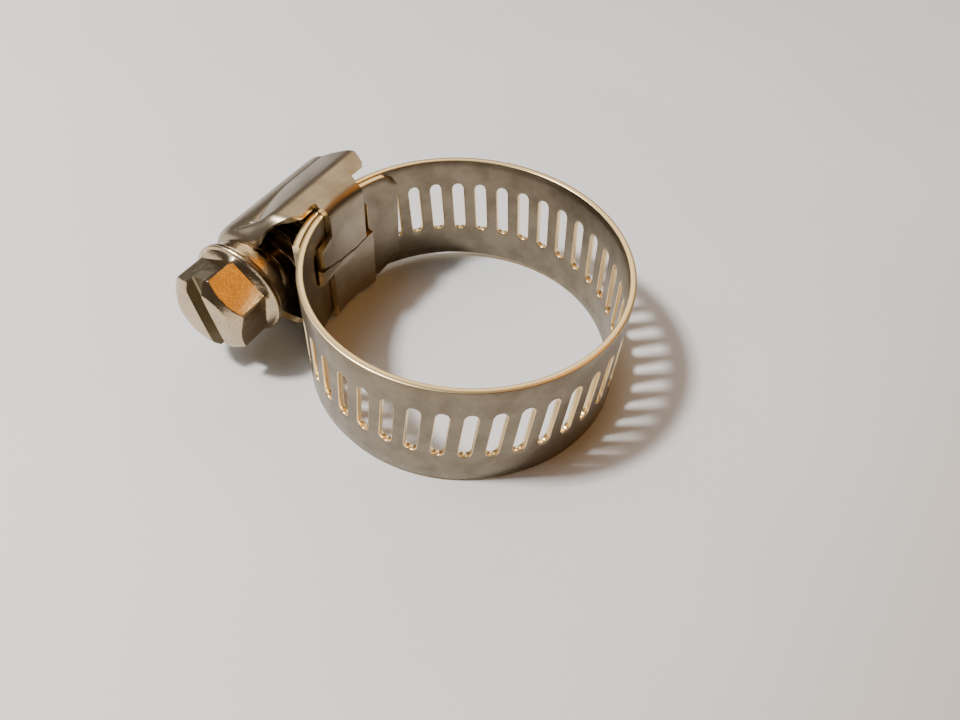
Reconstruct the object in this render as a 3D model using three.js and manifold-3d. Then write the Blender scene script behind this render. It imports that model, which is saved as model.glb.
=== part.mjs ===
// Worm-drive hose clamp with a perforated band, an interlocked housing and a slotted hex screw.
//
// Frame: the origin is on the axis of the ring, half-way across the band. +Z is the axis of the
// ring (and of the hose), +Y points out through the housing, and the screw lies along X with its
// hex head towards -X. Millimetres.

import * as THREE from 'three';
import { mergeVertices } from 'three/addons/utils/BufferGeometryUtils.js';
import Module from 'manifold-3d';

const wasm = await Module();
wasm.setup();

// ---- driving dimensions -------------------------------------------------------------------

const RING_RADIUS = 16;          // outside of the band, at the clamp's largest setting
const BAND_WIDTH = 12.7;
const BAND_THICKNESS = 0.64;
const LAYER_GAP = 0.2;           // between the two layers of band under the screw
const CUT_GAP = 0.3;             // between neighbouring stretches of band

const SLOTS_PER_TURN = 40;       // slots that would fit in the whole ring
const SLOT_PHASE = 5;            // angle of the slot just past +X, in degrees
const SLOT_WIDTH = 1.2;
const SLOT_LENGTH = 6.15;
const SLOT_LIFT = 0.3;           // the row of slots sits slightly above the middle of the band
const SLOT_SLANT = 5;            // degrees, to match the lead of the thread

const SCREW_HEIGHT = 20;         // from the ring's axis to the screw's axis
const THREAD_RADIUS = 4.35;
const CORE_RADIUS = 3.2;
const HEX_ACROSS_FLATS = 7.94;
const HEAD_END = -14.2;          // x of the screwdriver face
const THREAD_START = -6.3;
const THREAD_END = 6.0;
const SCREW_TIP = 6.6;

const SHEET = 0.6;               // thickness of the housing's sheet
const SIDE_GAP = 0.2;            // between the band's edges and the housing
const DOME_RADIUS = 5.3;         // outside of the housing over the screw
const SADDLE_FROM = -2.0;        // x where the housing starts to wrap round the band
const SADDLE_TO = 3.9;

const TONGUE_CUT = 1.9;          // how far the tongue's corners are cut back
const FAR_WINDOW = { x: [3.75, 4.35], z: [-2.1, 4.1] };
const NEAR_WINDOW = { x: [-4.9, -3.9], z: [-0.8, 3.6] };

const FLANK_FOOT = 16.2;         // y where the flank ends and the wrap begins
const FLANK_TOP = 18.4;          // y where the flank turns in towards the shoulder
const SHOULDER_TOP = 19.3;       // y where the shoulder's slope begins
const SHOULDER_INSET = 0.2;
const SHOULDER_SLOPE = 36.87;    // degrees
const DOME_JOIN = 66.5;          // degrees from the dome's top to where the shoulder meets it
const DOME_JOIN_INSIDE = 69.6;
const DOME_FROM = -5.9;          // x where the straight part of the dome begins
const BULB_END = -7.6;           // x of the front of the bulb
const BULB_LIP = 3.45;           // radius of the lip that drops into the screw's neck
const BULB_FLOOR = SCREW_HEIGHT - 1.6;

// Outlines in the (x, y) plane of what is cut away at the two ends of the housing.
const FRONT_CUT = [
  [-7, 12], [SADDLE_FROM, 12], [SADDLE_FROM, 16.1], [-2.4, 16.7], [-2.9, 16.5], [-3.1, 16.1],
  [-5.4, 18.5], [-7, 18.7],
];
const FAR_CUT = [[5.9, 15.5], [7.3, 18.5], [7.2, 27], [10, 27], [10, 15.5]];

// The curved seam between the two legs, in the (x, z) plane, and where their tabs end.
const SEAM = [[3.4, 0.55], [1.6, 0.05], [0, 0.05], [-2, 0.65], [-4.2, 1.7]];
const SEAM_GAP = 0.35;
const LEG_FAR_END = 3.4;
const UPPER_TAB_TOP = 3.9;
const LOWER_TAB_TOP = -0.3;
const TAB_END = -4.2;

const HEX_TURN = 39;             // angle of a corner of the hex, from +Y towards +Z
const HEX_END = -9.2;            // x where the hex runs into the flange
const HEX_CROWN = [[HEAD_END, 3.55], [HEAD_END + 0.35, 4.0], [HEAD_END + 0.9, 4.62], [-9.0, 4.62]];
const DRIVE_TURN = 64;           // angle of the screwdriver slot, from +Y towards +Z
const DRIVE_WIDTH = 1.3;
const DRIVE_DEPTH = 1.3;

// The screw behind its hex, as [x, radius]: flange, collar, neck, then the core of the thread.
const SHANK = [
  [-9.5, 4.85], [-9.1, 5.0], [-8.95, 4.9], [-8.9, 4.45], [-8.0, 4.45], [-7.9, 4.3], [-7.9, 3.0],
  [THREAD_START - 0.1, 3.0], [THREAD_START + 0.1, CORE_RADIUS - 0.1], [THREAD_END - 0.1, 2.9],
  [SCREW_TIP, 2.4],
];
const CREST_HALF_WIDTH = 0.3;
const CREST_FLANK = 0.5;         // how far along the axis each side of the ridge slopes

const LINKS = 13;                // stretches that the flexible part of the band is divided into
const SLOTS_PER_LINK = 2;
const OPEN_PIVOT_GAP = 0.75;     // clearance where the loop of the band is opened

// ---- sizes that follow --------------------------------------------------------------------

const rad = THREE.MathUtils.degToRad;
const slotAngle = 360 / SLOTS_PER_TURN;
const linkAngle = SLOTS_PER_LINK * slotAngle;
const outerMid = RING_RADIUS - BAND_THICKNESS / 2;
const innerMid = outerMid - BAND_THICKNESS - LAYER_GAP;
const pitch = outerMid * rad(slotAngle);
const housingHalfWidth = BAND_WIDTH / 2 + SIDE_GAP + SHEET;
const domeInside = DOME_RADIUS - SHEET;
const legOutside = innerMid - BAND_THICKNESS / 2 - LAYER_GAP;

// Angles round the ring, anticlockwise seen from +Z, in degrees from +X.
const rootEnd = SLOT_PHASE + 12.5 * slotAngle;            // where the fixed end becomes flexible
const loopEnd = rootEnd + LINKS * linkAngle - 360;        // where the flexible part meets the tail
const tongueEnd = 57;
const tailTip = 116;

// ---- materials ----------------------------------------------------------------------------

const bandSteel = new THREE.MeshStandardMaterial({ color: 0x9a958a, roughness: 0.42, metalness: 1 });
const housingSteel = new THREE.MeshStandardMaterial({ color: 0xa39a8c, roughness: 0.34, metalness: 1 });
const screwSteel = new THREE.MeshStandardMaterial({ color: 0xb9b2a4, roughness: 0.24, metalness: 1 });

// ---- solids -------------------------------------------------------------------------------

function solidFrom(geometry) {
  const bare = geometry.index ? geometry.toNonIndexed() : geometry.clone();
  bare.deleteAttribute('normal');
  bare.deleteAttribute('uv');
  const merged = mergeVertices(bare, 1e-5);
  return new wasm.Manifold(new wasm.Mesh({
    numProp: 3,
    vertProperties: new Float32Array(merged.attributes.position.array),
    triVerts: new Uint32Array(merged.index.array),
  }));
}

function meshFrom(name, solid, material) {
  const { vertProperties, triVerts } = solid.getMesh();
  const geometry = new THREE.BufferGeometry();
  geometry.setAttribute('position', new THREE.BufferAttribute(vertProperties, 3));
  geometry.setIndex(new THREE.BufferAttribute(triVerts, 1));
  geometry.computeVertexNormals();
  const mesh = new THREE.Mesh(geometry, material);
  mesh.name = name;
  return mesh;
}

function shapeOf(points) {
  return new THREE.Shape(points.map(([x, y]) => new THREE.Vector2(x, y)));
}

// An outline in the XY plane, made solid between two heights.
function plate(outline, zLow, zHigh) {
  const geometry = new THREE.ExtrudeGeometry(shapeOf(outline), {
    depth: zHigh - zLow, bevelEnabled: false, curveSegments: 8,
  });
  return solidFrom(geometry.translate(0, 0, zLow));
}

// A shape drawn in the (y, z) plane, made solid from xFrom to xTo.
function alongX(shape, xFrom, xTo) {
  const geometry = new THREE.ExtrudeGeometry(shape, {
    depth: xTo - xFrom, bevelEnabled: false, curveSegments: 10,
  });
  const axes = new THREE.Matrix4().makeBasis(
    new THREE.Vector3(0, 1, 0), new THREE.Vector3(0, 0, 1), new THREE.Vector3(1, 0, 0));
  return solidFrom(geometry.applyMatrix4(axes).translate(xFrom, 0, 0));
}

// An outline drawn in the (x, z) plane, made solid from yFrom to yTo.
function alongY(outline, yFrom, yTo) {
  const geometry = new THREE.ExtrudeGeometry(shapeOf(outline), {
    depth: yTo - yFrom, bevelEnabled: false,
  });
  const axes = new THREE.Matrix4().makeBasis(
    new THREE.Vector3(1, 0, 0), new THREE.Vector3(0, 0, 1), new THREE.Vector3(0, -1, 0));
  return solidFrom(geometry.applyMatrix4(axes).translate(0, yTo, 0));
}

// A profile of [x, radius] points turned about the screw's axis.
function turned(profile, segments) {
  const geometry = new THREE.LatheGeometry(profile.map(([x, r]) => new THREE.Vector2(r, x)), segments);
  geometry.rotateZ(-Math.PI / 2);
  return solidFrom(geometry.translate(0, SCREW_HEIGHT, 0));
}

function polar(radius, angle) {
  return [radius * Math.cos(rad(angle)), radius * Math.sin(rad(angle))];
}

// A curved wall standing between two angles, as thick as given, about a mid radius that may
// change with the angle.
function curvedWall(from, to, midRadius, thickness, zLow, zHigh) {
  const steps = Math.ceil((to - from) / 4.6);
  const angles = Array.from({ length: steps + 1 }, (_, i) => from + (to - from) * i / steps);
  const outside = angles.map((a) => polar(midRadius(a) + thickness / 2, a));
  const inside = angles.map((a) => polar(midRadius(a) - thickness / 2, a)).reverse();
  return plate([...outside, ...inside], zLow, zHigh);
}

function bandStretch(from, to, midRadius) {
  return curvedWall(from, to, midRadius, BAND_THICKNESS, -BAND_WIDTH / 2, BAND_WIDTH / 2);
}

// A round-ended cutter that goes through the band at an angle, leaning as the thread does.
function slotCutter(angle, width, length, lift) {
  const half = length / 2 - width / 2;
  const outline = new THREE.Shape();
  outline.absarc(0, half, width / 2, 0, Math.PI, false);
  outline.absarc(0, -half, width / 2, Math.PI, 2 * Math.PI, false);
  const depth = 4;
  const geometry = new THREE.ExtrudeGeometry(outline, { depth, bevelEnabled: false, curveSegments: 5 });
  geometry.rotateZ(-rad(SLOT_SLANT));
  const [c, s] = polar(1, angle);
  const place = new THREE.Matrix4().makeBasis(
    new THREE.Vector3(-s, c, 0), new THREE.Vector3(0, 0, 1), new THREE.Vector3(c, s, 0));
  place.setPosition(c * (outerMid - depth / 2), s * (outerMid - depth / 2), lift);
  return solidFrom(geometry.applyMatrix4(place));
}

function withSlots(stretch, angles) {
  return angles.reduce(
    (solid, angle) => solid.subtract(slotCutter(angle, SLOT_WIDTH, SLOT_LENGTH, SLOT_LIFT)), stretch);
}

// ---- band ---------------------------------------------------------------------------------

const halfCut = THREE.MathUtils.radToDeg(CUT_GAP / 2 / outerMid);
const halfOpen = THREE.MathUtils.radToDeg(OPEN_PIVOT_GAP / 2 / outerMid);

// The strip winds outward by one layer on its way round from the fixed end to the tail.
function woundRadius(angle) {
  const share = (angle - rootEnd) / (LINKS * linkAngle);
  return THREE.MathUtils.lerp(innerMid, outerMid, THREE.MathUtils.clamp(share, 0, 1));
}

function fixedEnd() {
  let solid = bandStretch(tongueEnd, rootEnd - halfCut, () => innerMid);
  const [tipX] = polar(innerMid + BAND_THICKNESS, tongueEnd);
  for (const side of [1, -1]) {
    const edge = side * BAND_WIDTH / 2;
    const corner = [
      [tipX - TONGUE_CUT, edge * 1.1], [tipX + 0.5, edge * 1.1], [tipX + 0.5, edge - side * TONGUE_CUT],
    ];
    solid = solid.subtract(alongY(side > 0 ? corner.reverse() : corner, 8, RING_RADIUS));
  }
  return solid.subtract(windowCutter(FAR_WINDOW)).subtract(windowCutter(NEAR_WINDOW));
}

// A window in the tongue, which a tab of the housing locks into.
function windowCutter({ x, z }) {
  return alongY([[x[0], z[0]], [x[1], z[0]], [x[1], z[1]], [x[0], z[1]]], 12, RING_RADIUS);
}

function link(index) {
  const from = rootEnd + index * linkAngle;
  const isLast = index === LINKS - 1;
  const stretch = bandStretch(from + halfCut, from + linkAngle - (isLast ? halfOpen : halfCut), woundRadius);
  const slots = Array.from({ length: SLOTS_PER_LINK }, (_, i) => from + (i + 0.5) * slotAngle);
  // The fixed end of the strip is plain for the first slot's width past the housing.
  return withSlots(stretch, index === 0 ? slots.slice(1) : slots);
}

function tail() {
  const stretch = bandStretch(loopEnd + halfOpen, tailTip, () => outerMid);
  const count = Math.floor((tailTip - slotAngle - loopEnd) / slotAngle);
  const slots = Array.from({ length: count }, (_, i) => loopEnd + (i + 0.5) * slotAngle);
  return withSlots(stretch, slots);
}

// ---- housing ------------------------------------------------------------------------------

// The housing's section over the screw: on each side a flank square to the band and a sloping
// shoulder, with the arc of the dome between them.
function archSection() {
  const inside = housingHalfWidth - SHEET;
  const foldIn = SHEET * Math.sin(rad(SHOULDER_SLOPE));
  const foldDown = SHEET * Math.cos(rad(SHOULDER_SLOPE));
  const outer = [
    [FLANK_FOOT, housingHalfWidth], [FLANK_TOP, housingHalfWidth],
    [SHOULDER_TOP, housingHalfWidth - SHOULDER_INSET],
  ];
  const inner = [
    [FLANK_FOOT, inside], [FLANK_TOP - 0.2, inside],
    [SHOULDER_TOP - foldIn, housingHalfWidth - SHOULDER_INSET - foldDown],
  ];
  const shape = new THREE.Shape();
  shape.moveTo(outer[0][0], -outer[0][1]);
  outer.slice(1).forEach(([y, z]) => shape.lineTo(y, -z));
  shape.absarc(SCREW_HEIGHT, 0, DOME_RADIUS, -rad(DOME_JOIN), rad(DOME_JOIN), false);
  outer.slice().reverse().forEach(([y, z]) => shape.lineTo(y, z));
  inner.forEach(([y, z]) => shape.lineTo(y, z));
  shape.absarc(SCREW_HEIGHT, 0, domeInside, rad(DOME_JOIN_INSIDE), -rad(DOME_JOIN_INSIDE), true);
  inner.slice().reverse().forEach(([y, z]) => shape.lineTo(y, -z));
  return shape;
}

// The rounded front of the dome, with a lip that drops into the neck of the screw.
function frontBulb() {
  const join = DOME_FROM + 0.5;
  const shell = turned([
    [join, DOME_RADIUS], [join, domeInside], [BULB_END + 1, 4.5], [BULB_END + SHEET, 4.1],
    [BULB_END + SHEET, BULB_LIP], [BULB_END, BULB_LIP], [BULB_END, DOME_RADIUS - 0.9],
    [BULB_END + 0.4, DOME_RADIUS - 0.4], [BULB_END + 1, DOME_RADIUS - 0.1], [join, DOME_RADIUS],
  ], 40);
  const below = plate([[-9, 12], [-4, 12], [-4, BULB_FLOOR], [-9, BULB_FLOOR]], -8, 8);
  return shell.subtract(below);
}

// The sheet that goes over the edges of the band and down to the inside of the ring.
function wraps() {
  const foot = [0, 1, 2, 3, 4].map((i) => polar(
    legOutside - SHEET, THREE.MathUtils.lerp(legAngle(SADDLE_TO - 0.5), legAngle(SADDLE_FROM), i / 4)));
  const outline = [[SADDLE_FROM, FLANK_FOOT + 0.5], [SADDLE_TO, FLANK_FOOT + 0.5], ...foot].reverse();
  const upper = plate(outline, housingHalfWidth - SHEET, housingHalfWidth);
  return upper.add(plate(outline, -housingHalfWidth, SHEET - housingHalfWidth));
}

function legAngle(x) {
  return 90 - THREE.MathUtils.radToDeg(Math.asin(x / legOutside));
}

// The two legs on the inside of the ring, with the curved seam between them and a tab on each.
function legs() {
  const wall = curvedWall(
    legAngle(5), legAngle(-6), () => legOutside - SHEET / 2, SHEET, -housingHalfWidth, housingHalfWidth);
  const upper = alongY([
    [SADDLE_FROM, 9], [SADDLE_FROM, UPPER_TAB_TOP], [TAB_END, UPPER_TAB_TOP],
    ...SEAM.slice().reverse(), [LEG_FAR_END, 9],
  ], 8, RING_RADIUS);
  const lower = alongY([
    [SADDLE_FROM, -9], [LEG_FAR_END, -9], ...SEAM.map(([x, z]) => [x, z - SEAM_GAP]),
    [TAB_END, LOWER_TAB_TOP], [SADDLE_FROM, LOWER_TAB_TOP],
  ], 8, RING_RADIUS);
  return wall.intersect(upper).add(wall.intersect(lower));
}

function housing() {
  const arch = alongX(archSection(), DOME_FROM, 8)
    .subtract(plate(FRONT_CUT, -9, 9))
    .subtract(plate(FAR_CUT, -9, 9));
  return arch.add(frontBulb()).add(wraps()).add(legs());
}

// ---- screw --------------------------------------------------------------------------------

// The thread is a cylinder whose surface is pushed out to a helical ridge that runs out at both
// ends. Its crests stand in the band's slots.
function worm() {
  const around = 16;
  const rowsPerTurn = 16;
  const length = THREAD_END - THREAD_START;
  const rows = Math.ceil(length / pitch * rowsPerTurn);
  const geometry = new THREE.CylinderGeometry(CORE_RADIUS, CORE_RADIUS, length, around, rows);
  geometry.rotateZ(-Math.PI / 2).translate((THREAD_START + THREAD_END) / 2, 0, 0);
  const crestAtBottom = outerMid * Math.sin(rad(90 - (SLOT_PHASE + 9 * slotAngle)));
  const position = geometry.attributes.position;
  const runOut = pitch * 0.8;
  for (let i = 0; i < position.count; i += 1) {
    const [x, y, z] = [position.getX(i), position.getY(i), position.getZ(i)];
    const turn = Math.atan2(z, y) / (2 * Math.PI) - 0.5;
    const along = (x - crestAtBottom) / pitch - turn;
    const offCrest = Math.abs(along - Math.round(along)) * pitch;
    const toEnd = Math.min(x - THREAD_START, THREAD_END - x);
    const full = (THREAD_RADIUS - CORE_RADIUS) * THREE.MathUtils.clamp(toEnd / runOut, 0, 1);
    const slope = (CREST_HALF_WIDTH + CREST_FLANK - offCrest) / CREST_FLANK;
    const ridge = full * THREE.MathUtils.clamp(slope, 0, 1);
    const radius = Math.hypot(y, z);
    const grow = radius > 0.1 ? (radius + ridge) / radius : 1;
    position.setXYZ(i, x, y * grow, z * grow);
  }
  return solidFrom(geometry.translate(0, SCREW_HEIGHT, 0));
}

function hexHead() {
  const corner = HEX_ACROSS_FLATS / Math.sqrt(3);
  const points = Array.from({ length: 6 }, (_, i) => polar(corner, HEX_TURN + 60 * i));
  const hex = alongX(shapeOf(points.map(([y, z]) => [SCREW_HEIGHT + y, z])), HEAD_END, HEX_END);
  const crown = turned([[HEAD_END, 0], ...HEX_CROWN, [-9.0, 0]], 36);
  const [c, s] = polar(1, DRIVE_TURN);
  const half = DRIVE_WIDTH / 2;
  const slotSection = [[6, -half], [6, half], [-6, half], [-6, -half]].map(
    ([along, across]) => [SCREW_HEIGHT + along * c - across * s, along * s + across * c]);
  const driveSlot = alongX(shapeOf(slotSection), HEAD_END - 1, HEAD_END + DRIVE_DEPTH);
  return hex.intersect(crown).subtract(driveSlot);
}

function screw() {
  const shank = turned([[SHANK[0][0], 0], ...SHANK, [SCREW_TIP, 0]], 32);
  return shank.add(hexHead()).add(worm());
}

// ---- assembly -----------------------------------------------------------------------------

const clamp = new THREE.Group();

const fixedParts = new THREE.Group();
fixedParts.add(meshFrom('housing', housing(), housingSteel));
fixedParts.add(meshFrom('band_fixed_end', fixedEnd(), bandSteel));
clamp.add(fixedParts);

clamp.add(meshFrom('worm_screw', screw(), screwSteel));

const movingBand = new THREE.Group();
for (let index = 0; index < LINKS; index += 1) {
  const name = `band_stretch_${String(index + 1).padStart(2, '0')}`;
  movingBand.add(meshFrom(name, link(index), bandSteel));
}
movingBand.add(meshFrom('band_tail', tail(), bandSteel));
clamp.add(movingBand);

export default clamp;
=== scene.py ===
# %% [markdown]
# # A hose clamp in stainless steel
#
# A worm-drive hose clamp has three pieces: a perforated band, a pressed housing that locks on to
# one end of it, and a screw whose thread stands in the slots of the other end. All three are
# thin or turned metal, so almost everything that the eye reads is an edge, a bend or a
# reflection. The lesson builds each piece as a surface worked out with numpy, in millimetres,
# and hands it to Blender in metres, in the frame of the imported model: the origin on the axis of
# the ring, +Z along that axis, +Y out through the housing.

import math

import bmesh
import bpy
import numpy as np
from mathutils import Matrix, Vector


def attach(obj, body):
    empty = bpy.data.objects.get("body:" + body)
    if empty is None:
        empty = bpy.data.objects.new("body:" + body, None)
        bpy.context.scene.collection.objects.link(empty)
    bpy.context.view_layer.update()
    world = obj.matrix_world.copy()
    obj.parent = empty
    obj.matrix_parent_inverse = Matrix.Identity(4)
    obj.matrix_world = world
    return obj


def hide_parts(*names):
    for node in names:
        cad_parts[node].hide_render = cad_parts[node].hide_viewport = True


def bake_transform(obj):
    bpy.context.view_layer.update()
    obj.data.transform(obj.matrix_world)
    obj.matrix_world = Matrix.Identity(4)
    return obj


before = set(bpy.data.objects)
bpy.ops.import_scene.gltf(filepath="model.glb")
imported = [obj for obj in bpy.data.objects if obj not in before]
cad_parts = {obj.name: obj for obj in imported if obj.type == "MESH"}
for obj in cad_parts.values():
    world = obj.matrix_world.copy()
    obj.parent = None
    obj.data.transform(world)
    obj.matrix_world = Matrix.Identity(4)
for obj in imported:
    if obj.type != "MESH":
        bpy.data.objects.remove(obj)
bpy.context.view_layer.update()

# %% Sizes of the clamp, in millimetres
MM = 0.001
RING_RADIUS = 16.0
BAND_THICKNESS = 0.64
BAND_HALF_WIDTH = 6.35
LAYER_GAP = 0.07
OUTER_MID = RING_RADIUS - BAND_THICKNESS / 2        # mid radius of the layer that the screw drives
INNER_MID = OUTER_MID - BAND_THICKNESS - LAYER_GAP  # mid radius of the tongue that lies inside it
SLOT_STEP = 9.0        # degrees from slot to slot
FIRST_HINGE = 117.5    # angle where the band becomes flexible, and where it first bends
STRETCH = 18.0         # degrees in one stretch of the band
STRETCHES = 13
TAIL_START = FIRST_HINGE + STRETCHES * STRETCH - 360
TAIL_TIP = 116.0
FIXED_END = 113.75     # angle where the tongue ends and the band starts to bend
SCREW_Y = 20.0         # height of the screw's axis over the ring's axis
REST_Z = -7.15         # the clamp lies on the lower edge of its housing


def polar(radius, degrees):
    """x and y of a point at that radius and angle about the ring's axis."""
    angle = np.radians(degrees)
    return radius * np.cos(angle), radius * np.sin(angle)


print("the tail starts at", TAIL_START, "degrees")

# %% [markdown]
# ## Camera, floor and light
#
# The camera looks down on the ring from beside the screw's head, turned a few degrees about its
# own line of sight. The clamp rests on two places, the lower edge of the housing and the far edge
# of the band, so the floor leans by just over a degree. Bare metal shows what is around it, so the
# light is a studio of four panels. A small key throws the streaks through the slots, and a softer
# one beside it fills the shadows a little. A cream panel lights the rims and the flank, and a long
# gold one colours the facets and bends that are turned to it. The surround is dim and warm.

# %% Camera
AZIMUTH, ELEVATION, ROLL = (math.radians(a) for a in (-64.0, 49.48, 4.69))
back = Vector((
    math.sin(AZIMUTH) * math.cos(ELEVATION),
    -math.cos(AZIMUTH) * math.cos(ELEVATION),
    math.sin(ELEVATION),
))
level = Vector((math.cos(AZIMUTH), math.sin(AZIMUTH), 0.0))
upright = back.cross(level)
right = level * math.cos(ROLL) + upright * math.sin(ROLL)
up = back.cross(right)

camera = bpy.data.objects.new("camera", bpy.data.cameras.new("camera"))
camera.matrix_world = Matrix((right, up, back)).transposed().to_4x4()
camera.location = Vector((-46.94, -25.21, 54.75)) * MM
camera.data.lens = 29.1
camera.data.sensor_width = 36.0
camera.data.clip_start = MM
bpy.context.scene.collection.objects.link(camera)
bpy.context.scene.camera = camera
print("camera at", [round(c, 4) for c in camera.location])


# %% Floor
def link_mesh(name, vertices_mm, faces, uv=None, material=None):
    """Puts vertices given in millimetres, and faces, into a new mesh object at the origin."""
    mesh = bpy.data.meshes.new(name)
    mesh.from_pydata((np.asarray(vertices_mm, float) * MM).tolist(), [], [list(f) for f in faces])
    if uv is not None:
        layer = mesh.uv_layers.new(name="strip")
        corner = np.zeros(len(mesh.loops), np.int32)
        mesh.loops.foreach_get("vertex_index", corner)
        layer.data.foreach_set("uv", (np.asarray(uv, float) * MM)[corner].astype(np.float32).ravel())
    mesh.validate()
    made = bpy.data.objects.new(name, mesh)
    if material is not None:
        mesh.materials.append(material)
    bpy.context.scene.collection.objects.link(made)
    return made


def quads(rows, cols, closed=False):
    """Vertex numbers of a grid's quads, row by row. closed joins the last column to the first."""
    i, j = np.meshgrid(np.arange(rows - 1), np.arange(cols if closed else cols - 1), indexing="ij")
    ahead = (j + 1) % cols
    numbers = [i * cols + j, i * cols + ahead, (i + 1) * cols + ahead, (i + 1) * cols + j]
    return np.stack(numbers, -1).reshape(-1, 4)


def mend(mesh, merge=0.0, sliver=0.0):
    """Merges vertices closer than merge, drops faces thinner than sliver, both in millimetres, turns
    the faces outward and returns the number of open edges."""
    work = bmesh.new()
    work.from_mesh(mesh)
    if merge:
        bmesh.ops.remove_doubles(work, verts=work.verts, dist=merge * MM)
    if sliver:
        bmesh.ops.dissolve_degenerate(work, edges=work.edges, dist=sliver * MM)
    bmesh.ops.recalc_face_normals(work, faces=work.faces)
    open_edges = sum(not edge.is_manifold for edge in work.edges)
    work.to_mesh(mesh)
    work.free()
    return open_edges


HOUSING_RESTS_AT = 17.0        # y of the two places that touch the floor
BAND_RESTS_AT = -16.0
FLOOR_LEAN = (REST_Z + BAND_HALF_WIDTH) / (BAND_RESTS_AT - HOUSING_RESTS_AT)
FLOOR_CLEARANCE = 0.02
FLOOR_REACH = 900.0


def floor_height(y):
    """Height of the floor: level along X, and rising gently towards -Y to meet the band."""
    return REST_Z + (HOUSING_RESTS_AT - y) * FLOOR_LEAN - FLOOR_CLEARANCE


corners = [(x * FLOOR_REACH, y * FLOOR_REACH) for x, y in ((-1, -1), (1, -1), (1, 1), (-1, 1))]
floor = link_mesh("floor", [(x, y, floor_height(y)) for x, y in corners], [(0, 1, 2, 3)])
print("floor leans", round(math.degrees(math.atan(FLOOR_LEAN)), 2), "degrees")


# %% Lights
def panel(name, direction, distance, width, height, power, colour, along=(0, 0, 1)):
    """A rectangular light, in metres, that looks at the ring from a direction. Its height lies along
    a vector."""
    data = bpy.data.lights.new(name, "AREA")
    data.shape = "RECTANGLE"
    data.size, data.size_y = width, height
    data.energy = power
    data.color = colour
    light = bpy.data.objects.new(name, data)
    towards = Vector(direction).normalized()
    long_side = (Vector(along) - towards * towards.dot(Vector(along))).normalized()
    turned = Matrix((long_side.cross(towards), long_side, towards)).transposed()
    light.matrix_world = Matrix.Translation(towards * distance) @ turned.to_4x4()
    bpy.context.scene.collection.objects.link(light)
    return light


panel("key", (-0.30, 0.45, 0.85), 0.40, 0.045, 0.045, 2.15, (1.0, 0.96, 0.90))
panel("sky", (-0.22, 0.50, 0.84), 0.60, 0.42, 0.42, 1.45, (0.94, 0.97, 1.0))
panel("cream", (0.67, 0.33, 0.66), 0.90, 0.42, 0.74, 1.9, (1.0, 0.85, 0.64), along=(-0.3, 1, 0))
panel("gold", (0.43, -0.42, 0.80), 0.90, 0.32, 0.72, 1.3, (1.0, 0.40, 0.02), along=(0, 0.9, 0.4))

world = bpy.data.worlds.new("surround")
world.use_nodes = True
surround = world.node_tree.nodes["Background"]
surround.inputs["Color"].default_value = (0.62, 0.52, 0.42, 1.0)
surround.inputs["Strength"].default_value = 0.12
bpy.context.scene.world = world

# %% [markdown]
# ## Writing materials as formulas
#
# A finish is arithmetic: noise times this, plus a mask of the edges times that. Blender keeps such
# sums as Math nodes. A small class that wraps a socket lets them be written as Python expressions,
# and one method adds any other node, so each finish below reads like the recipe it is.


# %% The socket wrapper
class Sock:
    """A node socket that can be added, multiplied and so on, by numbers or other sockets."""

    def __init__(self, tree, socket):
        self.tree = tree
        self.socket = socket

    def node(self, kind, settings=None, out=0, **values):
        """Adds a node: its settings first, then the values or links of its sockets. A socket is named,
        or numbered as i0, i1 and so on. out is the number of the output that is wanted."""
        made = self.tree.nodes.new(kind)
        for key, value in (settings or {}).items():
            setattr(made, key, value)
        for key, value in values.items():
            numbered = key[0] == "i" and key[1:].isdigit()
            target = made.inputs[int(key[1:]) if numbered else key.replace("_", " ")]
            if isinstance(value, Sock):
                self.tree.links.new(value.socket, target)
            else:
                target.default_value = value
        return Sock(self.tree, made.outputs[out])

    def maths(self, operation, first, second=0.0):
        return self.node("ShaderNodeMath", {"operation": operation}, i0=first, i1=second)

    def __add__(self, other):
        return self.maths("ADD", self, other)

    def __sub__(self, other):
        return self.maths("SUBTRACT", self, other)

    def __rsub__(self, other):
        return self.maths("SUBTRACT", other, self)

    def __mul__(self, other):
        return self.maths("MULTIPLY", self, other)

    __radd__ = __add__
    __rmul__ = __mul__

    def between(self, low, high):
        """0 below low, 1 above high, and smooth between them."""
        return self.node(
            "ShaderNodeMapRange", {"interpolation_type": "SMOOTHSTEP"},
            Value=self, From_Min=low, From_Max=high)

    def noise(self, where, scale, detail=3.0, roughness=0.5):
        return self.node(
            "ShaderNodeTexNoise", Vector=where, Scale=scale, Detail=detail, Roughness=roughness)

    def stretch(self, where, by):
        return self.node("ShaderNodeVectorMath", {"operation": "MULTIPLY"}, i0=where, i1=by)

    def mix(self, share, first, second):
        """A colour between two colours."""
        return self.node(
            "ShaderNodeMix", {"data_type": "RGBA"}, out=2, i0=share, i6=first, i7=second)


def start_material(name):
    """A new material's principled shader, and a Sock on its tree to build with."""
    made = bpy.data.materials.new(name)
    made.use_nodes = True
    shader = made.node_tree.nodes["Principled BSDF"]
    return made, shader, Sock(made.node_tree, None)


def drive(sock, shader, name):
    sock.tree.links.new(sock.socket, shader.inputs[name])


print("socket wrapper ready")

# %% [markdown]
# ## The paper floor
#
# Plain pale paper, faintly blue, with a fine tooth and soft, uneven patches of tone. Painted light
# makes it lighter on the side of the screw's head, and painted shade makes it darker and warmer
# across the ring from the housing.

# %% Paper
COOL_PAPER, MILD_PAPER = (0.74, 0.77, 0.82, 1.0), (0.78, 0.79, 0.82, 1.0)
PAINTED_LIGHT_PAPER, PAINTED_SHADE_PAPER = (0.93, 0.90, 0.89, 1.0), (0.60, 0.54, 0.49, 1.0)

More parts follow.
